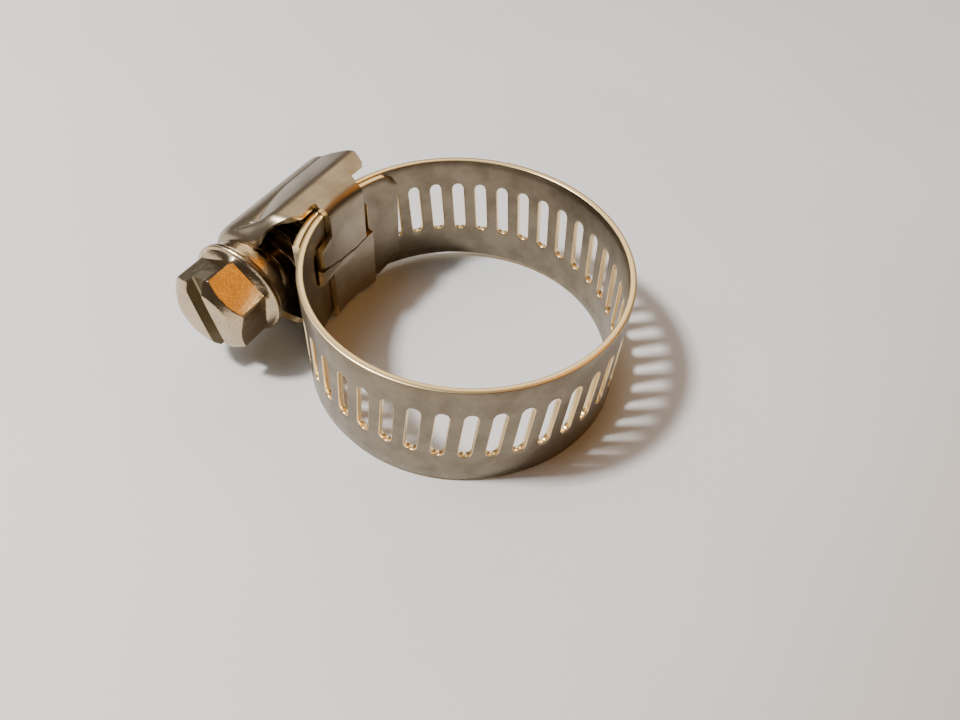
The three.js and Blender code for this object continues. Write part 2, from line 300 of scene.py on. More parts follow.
paper, shader, g = start_material("paper")
place = g.node("ShaderNodeTexCoord", out=3)
x, y = (g.node("ShaderNodeSeparateXYZ", out=k, Vector=place) for k in (0, 1))
patches = g.noise(place, 22.0, detail=2.0)
tooth = g.noise(place, 900.0, detail=4.0, roughness=0.6)
# painted light and painted shade: the paper is lighter on the head's side, and darker and warmer across the
# ring
painted_light_head_side = (x * -0.9 + y * 0.45).between(0.0, 0.07)
painted_shade_far_side = (x * -0.2 - y * 0.98).between(0.020, 0.068)
patchy = g.mix(patches.between(0.35, 0.65), COOL_PAPER, MILD_PAPER)
shaded = g.mix(painted_shade_far_side, g.mix(painted_light_head_side * 0.8, patchy, PAINTED_LIGHT_PAPER), PAINTED_SHADE_PAPER)
drive(shaded, shader, "Base Color")
shader.inputs["Roughness"].default_value = 0.9
drive(g.node("ShaderNodeBump", Height=tooth, Strength=0.25, Distance=0.0001), shader, "Normal")
floor.data.materials.append(paper)
print("paper nodes:", len(paper.node_tree.nodes))

# %% [markdown]
# ## Steel finishes
#
# The band is satin strip: rolled along its length, a little mottled, with sheared rims and slot walls
# that a painted highlight makes bright. A vertex attribute called edge says where the metal was cut,
# and so where the highlight is painted. The housing is the same steel pressed to shape. Noise scales
# are per metre, so 1000 gives spots about a millimetre across.


# %% Rolled steel
def steel(name, body, stain, edge, rough, rough_edge, grain, mottle):
    """Rolled steel: fine grain along the strip, cloudy patches, and a painted highlight on the cut edges."""
    made, shader, g = start_material(name)
    strip = g.node("ShaderNodeUVMap", {"uv_map": "strip"})
    place = g.node("ShaderNodeTexCoord", out=3)
    cut = g.node("ShaderNodeAttribute", {"attribute_name": "edge"}, out=2)
    lines = g.noise(g.stretch(strip, (180.0, 5200.0, 1.0)), 1.0, detail=4.0, roughness=0.6)
    clouds = g.noise(place, mottle, detail=5.0, roughness=0.6)
    pits = g.noise(place, 2600.0, detail=3.0, roughness=0.7)
    stained = g.mix(clouds.between(0.35, 0.70), body, stain)
    # painted highlight: where the metal was cut, the colour turns to the much brighter edge colour
    drive(g.mix(cut, stained, edge), shader, "Base Color")
    shader.inputs["Metallic"].default_value = 1.0
    matt = rough + (clouds - 0.5) * 0.22 + (lines - 0.5) * 0.16
    drive(matt * (1.0 - cut) + cut * rough_edge, shader, "Roughness")
    relief = lines * grain + pits * 0.5 + clouds * 1.5
    drive(g.node("ShaderNodeBump", Height=relief, Strength=0.35, Distance=0.00002), shader, "Normal")
    return made


# edge is the colour of the painted highlight on the cut edges
band_steel = steel(
    "satin_band", body=(0.25, 0.208, 0.148, 1.0), stain=(0.185, 0.15, 0.104, 1.0),
    edge=(0.97, 0.76, 0.43, 1.0), rough=0.34, rough_edge=0.30, grain=1.0, mottle=420.0)
housing_steel = steel(
    "pressed_housing", body=(0.39, 0.325, 0.245, 1.0), stain=(0.31, 0.245, 0.17, 1.0),
    edge=(0.97, 0.80, 0.50, 1.0), rough=0.35, rough_edge=0.28, grain=0.8, mottle=300.0)
print("steels:", band_steel.name, housing_steel.name)

# %% [markdown]
# The screw is plated, so it is smoother and warmer. It has an orange peel, and a sparkle of small
# darker grains. Behind its collar, where it lies inside the housing, it is painted dark as shade,
# which the place along X decides. A face attribute called slot says which faces the screwdriver
# slot cut, and those are painted darker as shade.

# %% Plated steel
PLATE_LIGHT, PLATE_DARK = (0.62, 0.50, 0.34, 1.0), (0.53, 0.41, 0.27, 1.0)
PLATE_GRAIN, PAINTED_SLOT_SHADE, SHADE_INSIDE_HOUSING = (0.30, 0.21, 0.12, 1.0), (0.34, 0.29, 0.20, 1.0), (0.17, 0.115, 0.065, 1.0)
SHADE_INSIDE_FROM, SHADE_INSIDE_FULL = -0.0075, -0.0073     # x in metres, just behind the collar

screw_plate, shader, g = start_material("plated_screw")
place = g.node("ShaderNodeTexCoord", out=3)
peel = g.noise(place, 1500.0, detail=3.0, roughness=0.6)
clouds = g.noise(place, 350.0, detail=3.0)
sparkle = g.noise(place, 5200.0, detail=2.0, roughness=0.7)
# painted shade: dark from just behind the collar, where the screw lies inside the housing
behind = g.node("ShaderNodeSeparateXYZ", Vector=place).between(SHADE_INSIDE_FROM, SHADE_INSIDE_FULL)
in_slot = g.node("ShaderNodeAttribute", {"attribute_name": "slot"}, out=2)
metal = g.mix(clouds.between(0.3, 0.7), PLATE_LIGHT, PLATE_DARK)
metal = g.mix(sparkle.between(0.36, 0.62) * 0.42, metal, PLATE_GRAIN)
# painted shade: the screwdriver slot's walls and floor are coloured darker
metal = g.mix(in_slot, metal, PAINTED_SLOT_SHADE)
drive(g.mix(behind, metal, SHADE_INSIDE_HOUSING), shader, "Base Color")
shader.inputs["Metallic"].default_value = 1.0
drive(0.12 + clouds * 0.10 + sparkle * 0.10 + in_slot * 0.15, shader, "Roughness")
relief = peel * 2.0 + sparkle
drive(g.node("ShaderNodeBump", Height=relief, Strength=0.7, Distance=0.00002), shader, "Normal")
print("materials:", [m.name for m in bpy.data.materials])

# %% [markdown]
# ## The band
#
# The strip is laid out flat, as angle round the ring and height across it, then bent on to its
# radius. A punched cell is a grid that closes round its hole: one direction runs round the slot
# and the other from the slot's wall out to the border of the cell. Cells share their borders, so a
# row of them welds into one strip. The rims are strips of their own, with the small rounding that
# shearing leaves.

# %% Outlines for one cell
def rounded_rectangle(half_x, half_y, corner, per_end, per_side):
    """Points round a rounded rectangle, anticlockwise from the middle of its lower right corner.

    The outline is traced finely as four arcs and the straight lines between them, then cut at the
    middle of each corner into four sides. Each side is divided evenly by length: the right, top,
    left and bottom sides in turn."""
    per_arc = 13
    fine = np.linspace(0, np.pi / 2, per_arc)
    arcs = []
    for turn, (cx, cy) in enumerate([
            (half_x - corner, corner - half_y), (half_x - corner, half_y - corner),
            (corner - half_x, half_y - corner), (corner - half_x, corner - half_y)]):
        angle = fine + (turn - 1) * np.pi / 2
        arcs.append(np.stack([cx + corner * np.cos(angle), cy + corner * np.sin(angle)], 1))
    half_arc = per_arc // 2
    line = np.concatenate(arcs + [arcs[0][:half_arc + 1]])
    sides = []
    for k, count in enumerate((per_side, per_end, per_side, per_end)):
        middle_of_corner = k * per_arc + half_arc
        run = line[middle_of_corner:middle_of_corner + per_arc + 1]
        length = np.concatenate([[0], np.cumsum(np.hypot(*np.diff(run, axis=0).T))])
        at = np.linspace(0, length[-1], count + 1)[:-1]
        sides.append(np.stack([np.interp(at, length, run[:, 0]), np.interp(at, length, run[:, 1])], 1))
    return np.concatenate(sides)


def cell_border(x0, x1, low, high, per_end, per_side):
    """The border of a cell, anticlockwise from its lower right corner, with the same counts."""
    rise = np.linspace(0, 1, per_side + 1)[:-1]
    run = np.linspace(0, 1, per_end + 1)[:-1]
    last_side = np.stack([np.full(per_side, x1), low(x1) + (high(x1) - low(x1)) * rise], 1)
    backward = x1 + (x0 - x1) * run
    top = np.stack([backward, high(backward)], 1)
    first_side = np.stack([np.full(per_side, x0), high(x0) + (low(x0) - high(x0)) * rise], 1)
    forward = x0 + (x1 - x0) * run
    bottom = np.stack([forward, low(forward)], 1)
    return np.concatenate([last_side, top, first_side, bottom])


SLOT = (0.6, 3.07, 0.6)      # half width, half length and corner radius
print("a slot's outline has", len(rounded_rectangle(*SLOT, 6, 16)), "points")

# %% [markdown]
# Lengths along the strip are in millimetres at the mid radius, so a slot keeps its shape when the
# strip is bent. The wall of a slot starts a little outside it on each face: that is the rounding
# that the punch leaves.

# %% Strip builder
PER_END, PER_SIDE = 6, 14        # points along each end and each side of a cell
ROUNDING = 0.09                  # radius of the rounding at a cut edge
THIRD = ROUNDING / 3
HALF = BAND_THICKNESS / 2
HOLE_ROUNDING = [(ROUNDING, 0.0), (THIRD, THIRD), (0.0, ROUNDING)]      # (outside the hole, depth)
RIM_ROUNDING = [(2 * THIRD, HALF - THIRD), (ROUNDING, HALF - ROUNDING),
                (ROUNDING, ROUNDING - HALF), (2 * THIRD, THIRD - HALF)]  # (past the face, height)
FACE_SHARES = [0.0, 0.12, 0.35, 0.7, 1.0]        # rows of a face from the hole to the cell's border
FACE_EDGE = BAND_HALF_WIDTH - ROUNDING           # half the width of the flat face
WELD = 1e-4                                      # points closer than this are one point


class Strip:
    """Collects grids of (along, across, depth) points and turns them into one welded mesh."""

    def __init__(self):
        self.points, self.edge, self.faces, self.count = [], [], [], 0

    def add(self, points, edge, faces):
        """Adds points, their edge marks, and faces numbered from the first of these points."""
        self.points.append(points)
        self.edge.append(edge)
        self.faces += [[number + self.count for number in face] for face in faces]
        self.count += len(points)

    def grid(self, along, across, depth, edge, closed=False, flip=False):
        """Adds a grid of points as quads. closed joins the last column to the first."""
        faces = quads(*along.shape, closed)
        self.add(np.stack([along, across, depth], -1).reshape(-1, 3),
                 np.broadcast_to(edge, along.shape).reshape(-1),
                 (faces[:, ::-1] if flip else faces).tolist())

    def punched(self, x0, x1, low, high, hole, centre, slant):
        """A cell with a hole: two faces that close round it, and the wall between them.

        The hole's outline is turned by the slant and moved to the centre. Each row of a face is that
        outline blended with the cell's border."""
        half_x, half_y, corner = hole
        turn = np.radians(-slant)
        c, s = np.cos(turn), np.sin(turn)
        rings = []
        for off, _ in HOLE_ROUNDING:
            ring = rounded_rectangle(half_x + off, half_y + off, corner + off, PER_END, PER_SIDE)
            ring = np.stack([ring[:, 0] * c - ring[:, 1] * s, ring[:, 0] * s + ring[:, 1] * c], 1)
            rings.append(ring + centre)
        share = np.array(FACE_SHARES)[:, None, None]
        face = rings[0] * (1 - share) + cell_border(x0, x1, low, high, PER_END, PER_SIDE) * share
        for side in (1, -1):
            self.grid(face[..., 0], face[..., 1], np.full(face.shape[:2], side * HALF), 0.0,
                      closed=True, flip=side > 0)
        wall = np.stack(rings + rings[::-1])
        depth = np.array([HALF - d for _, d in HOLE_ROUNDING] + [d - HALF for _, d in HOLE_ROUNDING[::-1]])
        mark = np.array([0.0, 1.0, 1.0, 1.0, 1.0, 0.0])[:, None]
        self.grid(wall[..., 0], wall[..., 1], np.repeat(depth[:, None], wall.shape[1], 1), mark,
                  closed=True)

    def plain(self, columns, low, high):
        """A stretch without a hole: an outer and an inner face, with a row of points per column."""
        along, share = np.meshgrid(columns, np.linspace(0, 1, PER_SIDE + 1), indexing="ij")
        across = low(along) + (high(along) - low(along)) * share
        for side in (1, -1):
            self.grid(along, across, np.full(along.shape, side * HALF), 0.0, flip=side < 0)

    def rim(self, columns, edge_of, side):
        """A rounded rim along one edge of the strip: a quarter round, a flat and a quarter round."""
        profile = np.array([(0, HALF), *RIM_ROUNDING, (0, -HALF)])
        along = np.repeat(columns[:, None], len(profile), 1)
        across = edge_of(columns)[:, None] + side * profile[:, 0]
        depth = np.repeat(profile[None, :, 1], len(columns), 0)
        mark = np.array([0.0, 1.0, 1.0, 1.0, 1.0, 0.0])
        self.grid(along, across, depth, mark, flip=side > 0)

    def cap(self, x, low, high, facing):
        """Closes an end of the strip with one flat polygon, its section."""
        across_face = low(x) + (high(x) - low(x)) * np.linspace(0, 1, PER_SIDE + 1)
        rounding = np.array(RIM_ROUNDING)
        across = np.concatenate([
            across_face, high(x) + rounding[:, 0], across_face[::-1], low(x) - rounding[:, 0]])
        on_face = np.full(len(across_face), HALF)
        depth = np.concatenate([on_face, rounding[:, 1], -on_face, rounding[::-1, 1]])
        unmarked, marked = np.zeros(len(across_face)), np.ones(len(rounding))
        face = list(range(len(across)))
        self.add(np.stack([np.full(len(across), float(x)), across, depth], 1),
                 np.concatenate([unmarked, marked, unmarked, marked]),
                 [face if facing > 0 else face[::-1]])

    def bent(self, name, mid_radius, material):
        """Bends the strip on to its ring: along becomes an angle, and depth adds to the radius."""
        flat = np.concatenate(self.points)
        angle = flat[:, 0] / OUTER_MID
        radius = mid_radius(np.degrees(angle)) + flat[:, 2]
        solid = np.stack([radius * np.cos(angle), radius * np.sin(angle), flat[:, 1]], 1)
        made = link_mesh(name, solid, self.faces, uv=flat[:, :2], material=material)
        # the edge mark says where the painted highlight goes
        mark = made.data.attributes.new("edge", "FLOAT", "POINT")
        mark.data.foreach_set("value", np.concatenate(self.edge).astype(np.float32))
        open_edges = mend(made.data, merge=WELD)
        made.data.shade_smooth()
        made.data.set_sharp_from_angle(angle=math.radians(40))
        print(name, "faces", len(made.data.polygons), "open edges", open_edges)
        return made


def mm_along(degrees):
    """Length along the strip for an angle round the ring."""
    return np.radians(degrees) * OUTER_MID


def straight_low(x):
    return np.full(np.shape(x), -FACE_EDGE) if np.ndim(x) else -FACE_EDGE


def straight_high(x):
    return -straight_low(x)


print("strip builder ready")

# %% [markdown]
# The flexible part is divided at the middle of each stretch, so that each piece holds one hinge at
# its own middle. Neighbours meet at the middle of a stretch.

# %% Flexible band
SLOT_LIFT = 0.3
SLOT_SLANT = 5.0


def wound_radius(degrees):
    """Mid radius: the strip winds outward by one layer between the fixed end and the tail."""
    share = np.clip((degrees - FIRST_HINGE) / (STRETCHES * STRETCH), 0, 1)
    return INNER_MID + (OUTER_MID - INNER_MID) * share


def run_of_cells(strip, start, slotted, step=SLOT_STEP):
    """Adds one cell per entry of slotted from an angle on, with its rims."""
    for k, has_slot in enumerate(slotted):
        x0, x1 = mm_along(start + k * step), mm_along(start + (k + 1) * step)
        if has_slot:
            strip.punched(x0, x1, straight_low, straight_high, SLOT,
                          np.array([(x0 + x1) / 2, SLOT_LIFT]), SLOT_SLANT)
        else:
            strip.plain(np.linspace(x0, x1, PER_END + 1), straight_low, straight_high)
    columns = mm_along(np.linspace(start, start + len(slotted) * step, PER_END * len(slotted) + 1))
    strip.rim(columns, straight_high, 1)
    strip.rim(columns, straight_low, -1)
    return columns[0], columns[-1]


for index in range(STRETCHES + 1):
    hinge = FIRST_HINGE + index * STRETCH
    strip = Strip()
    opening, closing = hinge - STRETCH / 2, hinge + STRETCH / 2
    if index == 0:
        opening = FIXED_END
        first, last = run_of_cells(strip, opening, [False, False], (closing - opening) / 2)
    else:
        first, last = run_of_cells(strip, opening, [True, True] if index < STRETCHES else [True])
    strip.cap(first, straight_low, straight_high, -1)
    strip.cap(last, straight_low, straight_high, 1)
    piece = strip.bent(f"band_bend_{index + 1:02d}", wound_radius, band_steel)
    after = f"band_stretch_{index + 1:02d}"
    if index < STRETCHES:
        bend_from, bend_to = (Vector((*polar(wound_radius(a), a), 0)) * MM for a in (opening, closing))
        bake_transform(piece)
        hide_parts(after)
    else:
        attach(piece, f"band_stretch_{index:02d}")

# %% [markdown]
# The tail carries on with twelve slots, under the screw, to a plain end that shows just in front
# of the housing.

# %% Tail
TAIL_SLOTS = 12
strip = Strip()
first, last = run_of_cells(strip, TAIL_START, [True] * TAIL_SLOTS)
tip_x = mm_along(TAIL_TIP)
columns = np.linspace(last, tip_x, TAIL_SLOTS)
strip.plain(columns, straight_low, straight_high)
strip.rim(columns, straight_high, 1)
strip.rim(columns, straight_low, -1)
strip.cap(first, straight_low, straight_high, -1)
strip.cap(tip_x, straight_low, straight_high, 1)
tail = strip.bent("band_tail_strip", lambda a: np.full(np.shape(a), OUTER_MID), band_steel)
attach(tail, "tail")
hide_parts("band_tail")

# %% [markdown]
# The tongue lies inside the tail. Its end has two corners cut off, and it has two windows that the
# housing's tabs lock into.

# %% Tongue
TONGUE_TIP = 7.55             # x of the tip and of where each cut corner starts
TOP_CUT, LOW_CUT = 6.3, 5.2
TOP_DROP, LOW_DROP = 1.3, 1.75
FAR_WINDOW = dict(hole=(0.32, 2.95, 0.3), at=3.85, lift=1.1, cell=(5.05, 2.7))
NEAR_WINDOW = dict(hole=(0.95, 1.9, 0.3), at=-4.35, lift=1.75, cell=(-2.9,))


def tongue_along(x):
    """Length along the strip where the inside of the tongue is at that x."""
    return mm_along(np.degrees(np.arccos(np.asarray(x, float) / (INNER_MID - HALF))))


def corner_cut(along, cut, drop):
    """How far the edge drops: nothing before the cut, then evenly to the full drop at the tip."""
    cut_from, tip_at = tongue_along(cut), tongue_along(TONGUE_TIP)
    return drop * np.clip((cut_from - np.asarray(along, float)) / (cut_from - tip_at), 0, 1)


def tongue_high(along):
    return FACE_EDGE - corner_cut(along, TOP_CUT, TOP_DROP)


def tongue_low(along):
    return -FACE_EDGE + corner_cut(along, LOW_CUT, LOW_DROP)


def window(strip, part, last):
    """Adds the cell of a window, and returns the cell's columns along the strip."""
    first = float(tongue_along(part["cell"][0]))
    strip.punched(first, last, tongue_low, tongue_high, part["hole"],
                  np.array([float(tongue_along(part["at"])), part["lift"]]), 0.0)
    return np.linspace(first, last, PER_END + 1)


strip = Strip()
tip = float(tongue_along(TONGUE_TIP))
far_columns = window(strip, FAR_WINDOW, float(tongue_along(FAR_WINDOW["cell"][1])))
near_columns = window(strip, NEAR_WINDOW, mm_along(FIXED_END))
tip_columns = np.unique(np.concatenate([
    np.linspace(tip, far_columns[0], 8), [float(tongue_along(cut)) for cut in (TOP_CUT, LOW_CUT)]]))
middle_columns = np.linspace(far_columns[-1], near_columns[0], 16)
strip.plain(tip_columns, tongue_low, tongue_high)
strip.plain(middle_columns, tongue_low, tongue_high)
columns = np.concatenate([tip_columns[:-1], far_columns[:-1], middle_columns[:-1], near_columns])
strip.rim(columns, tongue_high, 1)
strip.rim(columns, tongue_low, -1)
strip.cap(tip, tongue_low, tongue_high, -1)
strip.cap(near_columns[-1], tongue_low, tongue_high, 1)
tongue = strip.bent("band_tongue", lambda a: np.full(np.shape(a), INNER_MID), band_steel)
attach(tongue, "housing")
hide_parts("band_fixed_end")

# %% [markdown]
# ## The housing
#
# The housing is one pressed sheet, so it is worked out as its middle surface and then given its
# thickness. Its section starts at the top of the dome, goes down the shoulder and the flank, turns
# under the edge of the band and ends in a leg on the inside of the ring. Each row of the grid
# follows the screw from a near end to a far end, and those two ends draw the outline of the
# pressing: the window in front, the notch for the band, the tabs and the slanted back. At the
# front the section is gathered into a round bulb about the neck of the screw.

# %% Half of the housing's middle surface
SHEET = 0.6
DOME_MID = 5.0          # mid radius of the dome
FLANK_MID = 6.85        # z of the flank's middle surface
LEG_MID = 14.28         # mid radius of the legs, inside the tongue
BEND = 0.8              # mid radius of the bend under the band's edge
CREASE = 69.7           # degrees from the dome's top to the crease, at the back
CREASE_DROP = 14.5      # how much lower it is where the bulb begins
CREASE_FROM, CREASE_OVER = 1.8, 5.9        # x where it starts to drop, and over what length
SHOULDER_FOOT, CORNER, FLANK_TOP = (18.35, 6.66), (17.95, 6.82), (17.6, FLANK_MID)   # y and z
SHOULDER_BULGE = (0.2, 0.25)
FLANK_ROWS = [17.57, 17.5, 17.4, 17.25, 17.0, 16.7, 16.4, 16.2, 16.05, 15.97, 15.93, 15.88, 15.8,
              15.6, 15.3, 15.1]            # heights of the rows down the flank
FRONT_EDGE = [(17.6, -6.95), (17.5, -6.3), (17.38, -5.85), (17.2, -5.5), (15.95, -3.60),
              (15.90, -2.6), (15.80, -1.75), (15.5, -1.65)]   # y and x: the window, then the notch
FRONT_EDGE_ENDS = 15.1
BACK_EDGE = [(17.6, 7.35), (16.35, 6.15), (16.25, 4.15)]      # y and x: the slanted back
BACK_EDGE_ENDS = 15.0
FRONT_NOTCH_X = -2.0    # where the legs begin, at the front
BACK_X = 7.2            # back of the dome
NOSE_X = -7.1           # front of the bulb
BULB_X = -5.7           # where the bulb starts to close
BULB_CLOSES = 0.95      # how much smaller its radius gets
GATHER_X, GATHER_OVER = -7.05, 2.2         # where the section is all circle, and the length it takes
SHOULDER_TURN, CORNER_TURN = 28.0, 6.0     # degrees of the bulb's circle that these parts take up
FLANK_FROM, FLANK_TURN, LEG_ANGLE = 104.0, 4.0, 112.0
FRONT_CROWDING = 0.35   # how much the columns crowd towards the front


def rows_to(start, end, count):
    """Evenly spaced values after start, up to end."""
    return np.linspace(start, end, count + 1)[1:]


def leg_height(x):
    """y of the legs' middle surface: they follow the inside of the ring."""
    return np.sqrt(LEG_MID ** 2 - x ** 2)


def on_dome(degrees):
    """y and z on the dome's circle at an angle from its top."""
    return SCREW_Y + DOME_MID * np.cos(np.radians(degrees)), DOME_MID * np.sin(np.radians(degrees))


def crease_angle(x):
    """Angle of the crease: steady at the back, and lower towards the bulb."""
    forward = np.clip((CREASE_FROM - np.asarray(x, float)) / CREASE_OVER, 0, 1.35)
    return CREASE + CREASE_DROP * forward ** 1.6


def on_shoulder(x, t):
    """y and z a share t of the way from the crease to the shoulder's foot: the straight line between
    them plus a bulge that is greatest half-way."""
    return tuple(c * (1 - t) + f * t + bulge * t * (1 - t)
                 for c, f, bulge in zip(on_dome(crease_angle(x)), SHOULDER_FOOT, SHOULDER_BULGE))


def on_corner(t):
    """y and z on the rounded corner between shoulder and flank: a quadratic Bezier curve."""
    return tuple((1 - t) ** 2 * a + 2 * t * (1 - t) * b + t * t * c
                 for a, b, c in zip(SHOULDER_FOOT, CORNER, FLANK_TOP))


def half_housing(near_leg, far_leg, tab_top, tab_near, seam, columns=64):
    """The middle surface from the dome's top to one leg's seam, as rows of points (x, y, z).

    Every row has a place on the section, which may change with x, a matching angle on the bulb's
    circle, and its near and far ends. Near the front the section is blended into the circle, whose
    radius shrinks as a quarter of an ellipse does."""
    rows = []

    def add(point, angle, near_x, far_x):
        rows.append((point, angle, near_x, far_x))

    for t in np.concatenate([np.linspace(0, 0.985, 16), [1.0]]):
        add(lambda x, t=t: on_dome(crease_angle(x) * t), CREASE * t, NOSE_X, BACK_X)
    for t in np.concatenate([[0.03], rows_to(0.03, 1, 9)]):
        add(lambda x, t=t: on_shoulder(x, t), CREASE + SHOULDER_TURN * t, NOSE_X, BACK_X + 0.12 * t)
    for t in rows_to(0, 1, 4):
        add(lambda x, t=t: on_corner(t), CREASE + SHOULDER_TURN + CORNER_TURN * t, NOSE_X,
            BACK_EDGE[0][1])
    top = FLANK_TOP[0]
    bottom = float(leg_height(FRONT_NOTCH_X)) + BEND
    heights = np.array([*FLANK_ROWS, bottom])
    front_y, front_x = np.array([*FRONT_EDGE, (FRONT_EDGE_ENDS, near_leg)]).T
    back_y, back_x = np.array([*BACK_EDGE, (BACK_EDGE_ENDS, far_leg + 0.2)]).T
    for share, near_x, far_x in zip(
            (top - heights) / (top - bottom),
            np.interp(-heights, -front_y, front_x), np.interp(-heights, -back_y, back_x)):
        add(lambda x, t=share: (top + (leg_height(x) + BEND - top) * t, FLANK_MID),
            FLANK_FROM + FLANK_TURN * share, near_x, far_x)
    for t in rows_to(0, np.pi / 2, 8):
        add(lambda x, t=t: (leg_height(x) + BEND * (1 - np.sin(t)), FLANK_MID - BEND * (1 - np.cos(t))),
            LEG_ANGLE, near_leg, far_leg)
    for z in rows_to(FLANK_MID - BEND, tab_top + 0.03, 6):
        add(lambda x, z=z: (leg_height(x), z), LEG_ANGLE, near_leg, far_leg)
    for t in np.linspace(0, 1, 10):
        add(lambda x, t=t: (leg_height(x), tab_top + (seam(x) - tab_top) * t), LEG_ANGLE, tab_near, far_leg)

    sections, circle, near, far = zip(*rows)
    share = np.linspace(0, 1, columns + 1)
    share = share + FRONT_CROWDING * share * (1 - share) * (share - 1)
    near, far = np.array(near)[:, None], np.array(far)[:, None]
    x = near + (far - near) * share
    y, z = np.zeros_like(x), np.zeros_like(x)
    for i, section in enumerate(sections):
        y[i], z[i] = section(x[i])
    to_nose = np.clip((BULB_X - x) / (BULB_X - NOSE_X), 0, 1)
    radius = DOME_MID - BULB_CLOSES * (1 - np.sqrt(1 - 0.995 * to_nose ** 2))
    own = np.clip((x - GATHER_X) / GATHER_OVER, 0, 1)
    own = own * own * (3 - 2 * own)
    angle = np.radians(np.array(circle))[:, None]
    y = y * own + (SCREW_Y + radius * np.cos(angle)) * (1 - own)
    z = z * own + radius * np.sin(angle) * (1 - own)
    return np.stack([x, y, z], -1)


def upper_seam(x):
    """z of the upper leg's end along the curved seam."""
    return np.interp(x, [-4.2, -2.6, -1.0, 1.5, 3.3], [1.75, 0.85, 0.28, 0.05, 0.55])


def lower_seam(x):
    """Distance of the lower leg's end below the middle, along the same seam."""
    return -np.interp(x, [-4.6, -2.6, -1.0, 1.5, 3.3, 4.2], [1.55, 0.68, 0.10, -0.14, 0.35, 0.75])


upper_half = half_housing(near_leg=-2.0, far_leg=3.2, tab_top=3.9, tab_near=-4.2, seam=upper_seam)
lower_half = half_housing(near_leg=-2.4, far_leg=4.1, tab_top=0.3, tab_near=-4.6, seam=lower_seam)
print("rows in each half:", len(upper_half), len(lower_half))

# %% [markdown]
# The sheet's faces are the middle surface moved half a thickness each way along its normal, and a
# wall joins them all round the outline. The wall is the sheared edge of the sheet, and its faces are
# marked for a painted highlight that makes them brighter.

# %% Thickness, and the housing as a mesh
def thick_sheet(name, middle, thickness, material):
    """A closed mesh from a grid of points: two offset surfaces and the wall round their border."""
    across = np.gradient(middle, axis=0)
    along = np.gradient(middle, axis=1)
    normal = np.cross(across, along)
    normal /= np.linalg.norm(normal, axis=2, keepdims=True)
    rows, cols = middle.shape[:2]
    solid = np.concatenate([(middle + normal * thickness / 2).reshape(-1, 3),
                            (middle - normal * thickness / 2).reshape(-1, 3)])
    number = np.arange(rows * cols).reshape(rows, cols)
    quad = quads(rows, cols)
    border = np.concatenate([number[0, :-1], number[:-1, -1], number[-1, :0:-1], number[:0:-1, 0]])
    ahead = np.roll(border, -1)
    wall = np.stack([border, ahead, ahead + rows * cols, border + rows * cols], -1)
    faces = np.concatenate([quad, quad[:, ::-1] + rows * cols, wall])
    length = np.concatenate([np.zeros((1, cols)), np.cumsum(
        np.linalg.norm(np.diff(middle, axis=0)[..., 1:], axis=2), axis=0)])
    uv = np.tile(np.stack([middle[..., 0], length], -1).reshape(-1, 2), (2, 1))
    made = link_mesh(name, solid, faces.tolist(), uv=uv, material=material)
    # the wall faces are marked for the painted highlight of the cut edge
    mark = made.data.attributes.new("edge", "FLOAT", "FACE")
    mark.data.foreach_set("value", np.repeat([0.0, 1.0], [2 * len(quad), len(wall)]).astype(np.float32))
    open_edges = mend(made.data)
    made.data.shade_smooth()
    made.data.set_sharp_from_angle(angle=math.radians(38))
    print(name, "faces", len(made.data.polygons), "open edges", open_edges)
    return made


whole = np.concatenate([lower_half[:0:-1] * (1, 1, -1), upper_half])
shell = thick_sheet("housing_shell", whole, SHEET, housing_steel)
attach(shell, "housing")
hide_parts("housing")

# %% [markdown]
# ## The screw
#
# The screw is turned and rolled, so it is one surface about its own axis: a radius for each place
# along the axis and each angle round it. The hex is where that radius is the smaller of the crown
# and a flat side. The thread is where a helical ridge is added to the core. Only the screwdriver
# slot isn't of that kind, and it is cut out of the finished shape.

# %% The screw's radius
HEAD_END = -14.38       # x of the middle of the head's face
HEX_FLAT = 3.93         # from the axis to a flat
HEX_ROUND = 4.50        # from the axis to a corner, which is slightly rounded
HEX_CORNER = 39.0       # angle of a corner, from +Y towards +Z
HEX_REACH = 4.6         # past the corners, so that the flats alone decide the shape
HEX_FLANGE_X = -9.85    # where the hex runs into the flange
CROWN_FROM, CROWN_TO, CROWN_SLOPE = -14.28, -13.25, 1.28
PITCH = OUTER_MID * math.radians(SLOT_STEP)
CREST_AT = 86.0         # degrees round the ring to a slot that the ridge passes over
THREAD_FROM, THREAD_TO, THREAD_STEP = -6.3, 6.0, 0.075
CORE = 3.2
RIDGE_HEIGHT, RIDGE_HALF, RIDGE_SOFT = 1.15, 0.52, 0.07
SEGMENTS = 240


def hex_radius(angle):
    """Distance from the axis to a flat at each angle, with the corners slightly rounded."""
    off = (np.degrees(angle) - HEX_CORNER) % 60 - 30
    return np.minimum(HEX_FLAT / np.cos(np.radians(off)), HEX_ROUND)


def ridge(x, angle):
    """The thread: a ridge that follows a right-hand helix and runs out at both ends. Its height
    falls off along the axis as a logistic curve of the distance from the nearest turn."""
    crest = OUTER_MID * math.cos(math.radians(CREST_AT))
    turns = (x - crest) / PITCH - (angle / (2 * np.pi) - 0.5)
    off = np.abs(turns - np.round(turns)) * PITCH
    height = 1 / (1 + np.exp((off - RIDGE_HALF) / RIDGE_SOFT))
    run_out = np.clip(np.minimum(x - THREAD_FROM, THREAD_TO - x) / (0.8 * PITCH), 0, 1)
    return RIDGE_HEIGHT * height * run_out


def screw_radius(x, angle, radius):
    """The hex in front, the ridge behind, and the plain line between them."""
    in_hex = np.clip((HEX_FLANGE_X - x) / 0.15, 0, 1)
    head = np.minimum(hex_radius(angle), radius)
    return head * in_hex + radius * (1 - in_hex) + ridge(x, angle)


